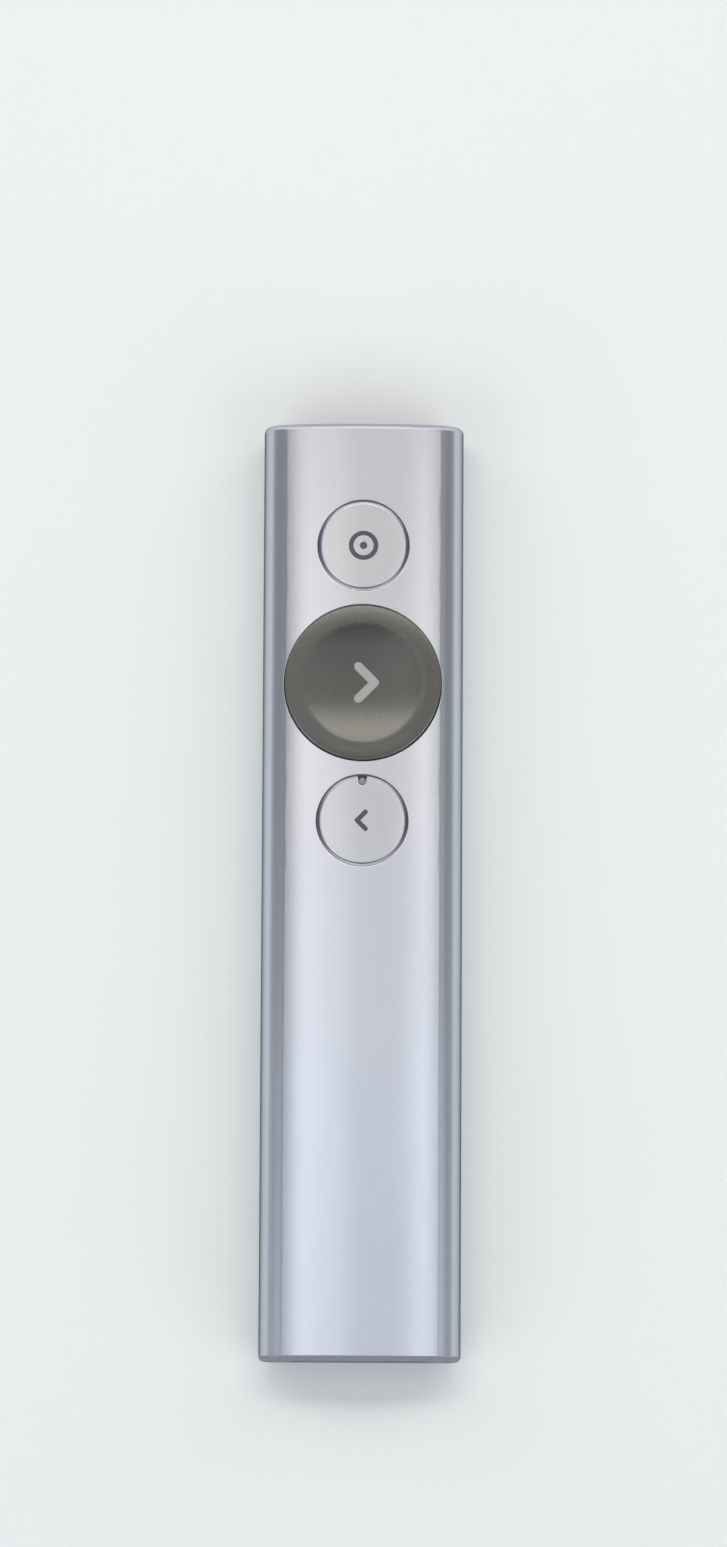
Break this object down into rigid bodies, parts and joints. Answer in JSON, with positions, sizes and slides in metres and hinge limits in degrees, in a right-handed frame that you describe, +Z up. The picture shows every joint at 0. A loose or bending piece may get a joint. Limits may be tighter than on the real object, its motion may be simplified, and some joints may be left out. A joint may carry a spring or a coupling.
{
  "type": "wireless presentation clicker",
  "caption": "Slim rounded metal bar with a large dished round button between small round buttons, and a receiver stored in its tail.",
  "frame": {"origin": "centre of the bounding box's bottom face, on the flat belly", "axes": "+Y along the bar towards the pointing end, +Z up out of the buttons, +X across to the right of the marks"},
  "size_m": [0.0282, 0.1314, 0.0121],
  "materials": {
    "anodised_aluminium": "fine bead-blasted and anodised, bluish silver",
    "cap_silver": "satin anodised silver",
    "soft_touch": "warm dark grey soft-touch skin, very matte",
    "mark_light": "light grey inlay",
    "mark_dark": "dark grey inlay",
    "end_plastic": "dark grey moulded, fine texture",
    "chassis_plastic": "black moulded",
    "plunger_plastic": "violet-grey moulded",
    "clear_plastic": "smoked moulded",
    "screw_steel": "zinc-plated",
    "spring_steel": "bright spring steel",
    "stamped_steel": "nickel-plated, fine brushed",
    "board_green": "solder resist on glass laminate",
    "chip_black": "moulded package",
    "crystal_can": "plated can",
    "ceramic": "fired ceramic",
    "antenna_ceramic": "white ceramic",
    "led_resin": "clear resin",
    "gold_plate": "gold-plated",
    "cell_foil": "laminated foil pouch",
    "foam": "thin adhesive foam",
    "connector_ivory": "moulded connector",
    "insert_black": "moulded insert",
    "lead_red": "insulated lead",
    "lead_black": "insulated lead",
    "lead_blue": "insulated lead",
    "magnet": "nickel-plated magnet",
    "rotor_weight": "sintered heavy metal",
    "receiver_plastic": "dark grey moulded, fine texture"
  },
  "bodies": {
    "case": {"antenna": "antenna_ceramic", "back_dome": "spring_steel", "battery_cell": "cell_foil", "battery_guard": "board_green", "battery_header": "connector_ivory", "battery_lead_black": "lead_black", "battery_lead_red": "lead_red", "battery_pad": "foam", "battery_plug": "connector_ivory", "button_deck": "chassis_plastic", "capacitors": "ceramic", "charge_chip": "chip_black", "chassis_tray": "chassis_plastic", "crystal": "crystal_can", "deck_screws": "screw_steel", "front_cap": "end_plastic", "front_screws": "screw_steel", "light_pipe": "clear_plastic", "main_board": "board_green", "motion_sensor": "chip_black", "motor_base": "stamped_steel", "motor_can": "stamped_steel", "motor_lead_blue": "lead_blue", "motor_lead_red": "lead_red", "motor_magnet": "magnet", "motor_pad": "foam", "next_dome": "spring_steel", "outer_shell": "anodised_aluminium", "pointer_dome": "spring_steel", "radio_chip": "chip_black", "socket_blade": "insert_black", "socket_contacts": "gold_plate", "socket_shell": "stamped_steel", "status_led": "led_resin", "tail_frame": "end_plastic", "tail_screws": "screw_steel"},
    "pointer_button": {"pointer_cap": "cap_silver", "pointer_icon": "mark_dark", "pointer_plunger": "plunger_plastic"},
    "next_button": {"next_cap": "soft_touch", "next_icon": "mark_light", "next_core": "chassis_plastic"},
    "back_button": {"back_cap": "cap_silver", "back_icon": "mark_dark", "back_plunger": "plunger_plastic"},
    "receiver": {"receiver_head": "receiver_plastic", "plug_shell": "stamped_steel", "plug_carrier": "insert_black", "receiver_board": "board_green", "plug_contacts": "gold_plate", "receiver_chip": "chip_black"},
    "rotor": {"motor_rotor": "rotor_weight"}
  },
  "joints": [
    {"name": "pointer_press", "type": "slide", "parent": "case", "child": "pointer_button", "axis": [0, 0, -1], "range_m": [0, 0.0004], "stiffness_N_per_m": 4000, "deforming": ["pointer_dome"]},
    {"name": "next_press", "type": "slide", "parent": "case", "child": "next_button", "axis": [0, 0, -1], "range_m": [0, 0.0005], "stiffness_N_per_m": 4000, "deforming": ["next_dome"]},
    {"name": "back_press", "type": "slide", "parent": "case", "child": "back_button", "axis": [0, 0, -1], "range_m": [0, 0.0004], "stiffness_N_per_m": 4000, "deforming": ["back_dome"]},
    {"name": "receiver_slide", "type": "slide", "parent": "case", "child": "receiver", "axis": [0, -1, 0], "range_m": [0, 0.03]},
    {"name": "rotor_spin", "type": "hinge", "parent": "case", "child": "rotor", "pos_m": [0.0055, -0.0036, 0.004], "axis": [0, 0, 1], "continuous": true}
  ]
}
